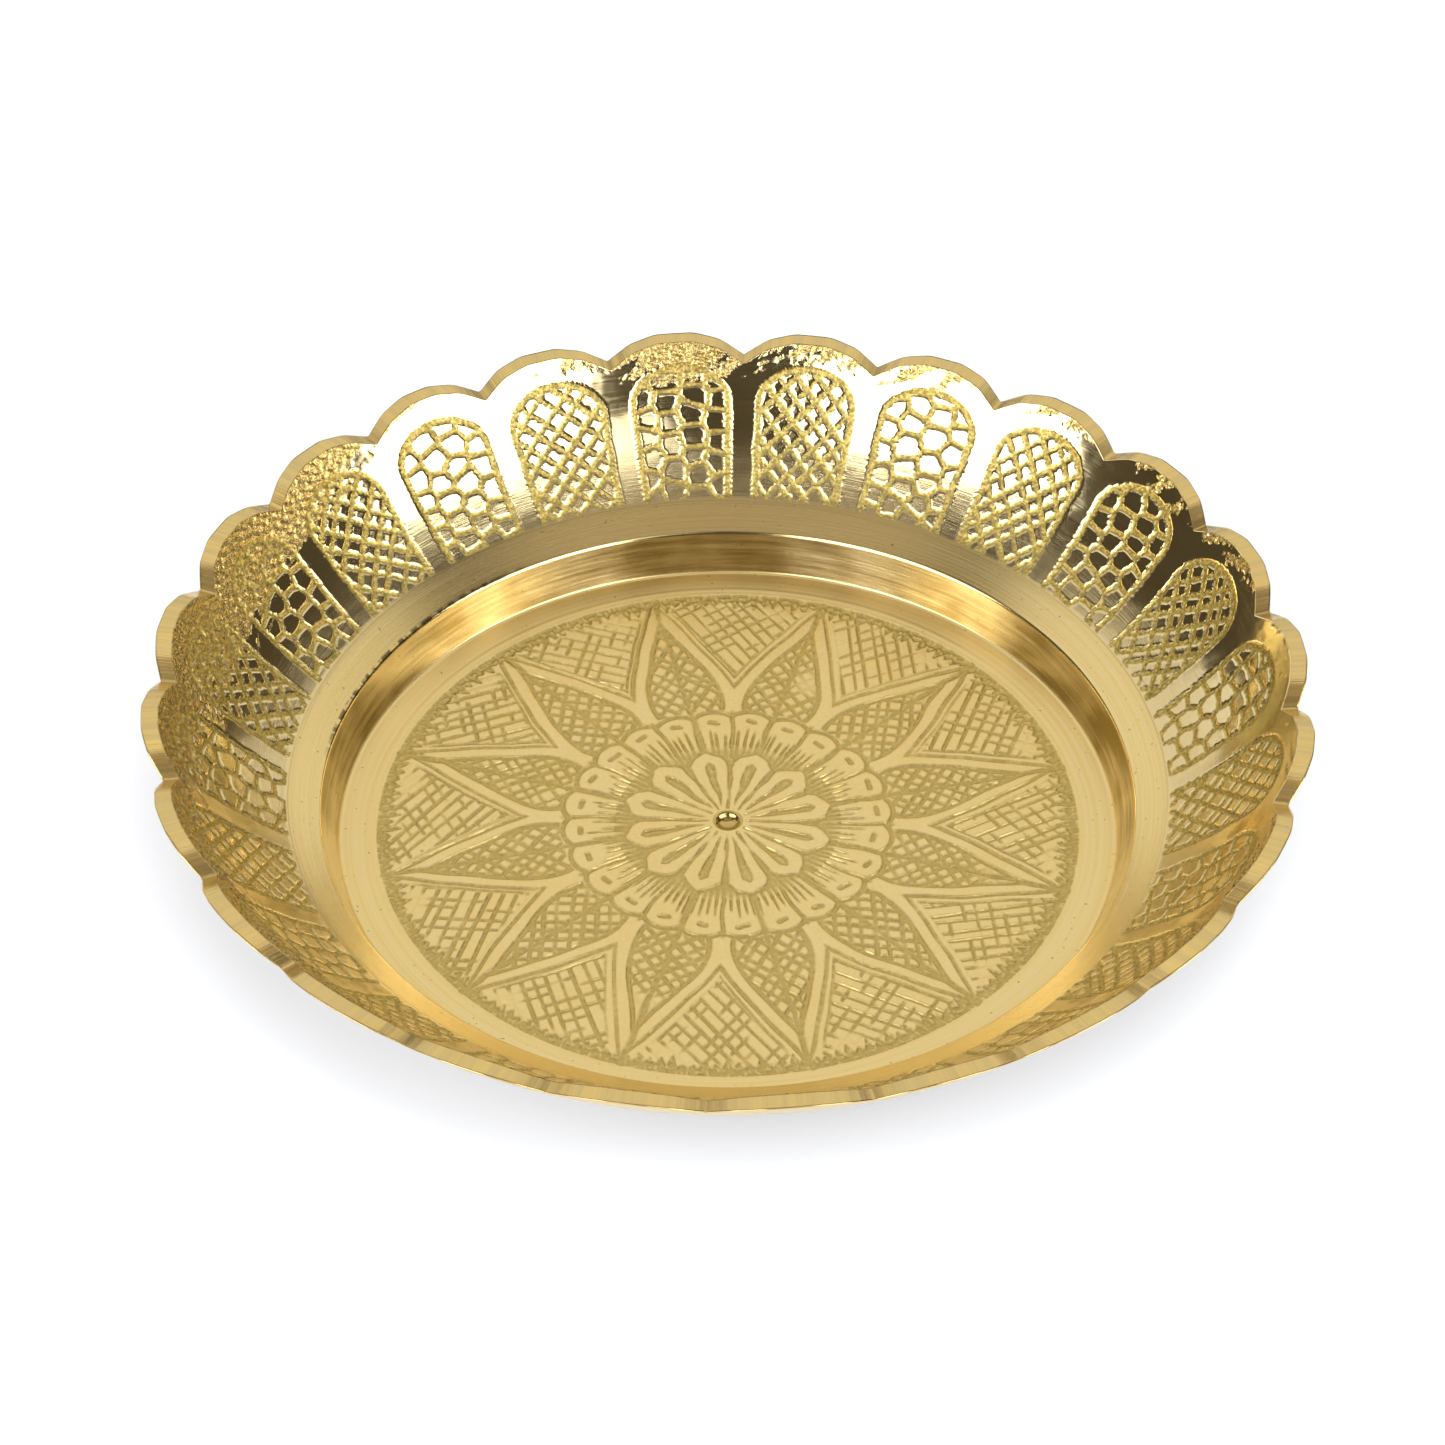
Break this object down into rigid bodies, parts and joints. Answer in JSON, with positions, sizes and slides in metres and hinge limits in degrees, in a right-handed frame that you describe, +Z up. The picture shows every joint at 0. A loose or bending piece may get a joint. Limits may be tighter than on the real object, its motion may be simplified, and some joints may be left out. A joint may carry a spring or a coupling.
{
  "type": "brass tray",
  "caption": "Round dish tray in cast brass with a flat floor, a turned step and ledge, a curved wall, a scalloped rim and engraved ornament.",
  "frame": {"origin": "middle of the base, on the surface the tray stands on", "axes": "+Z up along the turning axis; +X and +Y each point at a notch of the rim"},
  "size_m": [0.1494, 0.1494, 0.027],
  "materials": {
    "brass": "turned and polished, with matt engraved lines"
  },
  "bodies": {
    "root": {"tray_body": "brass"}
  },
  "joints": []
}
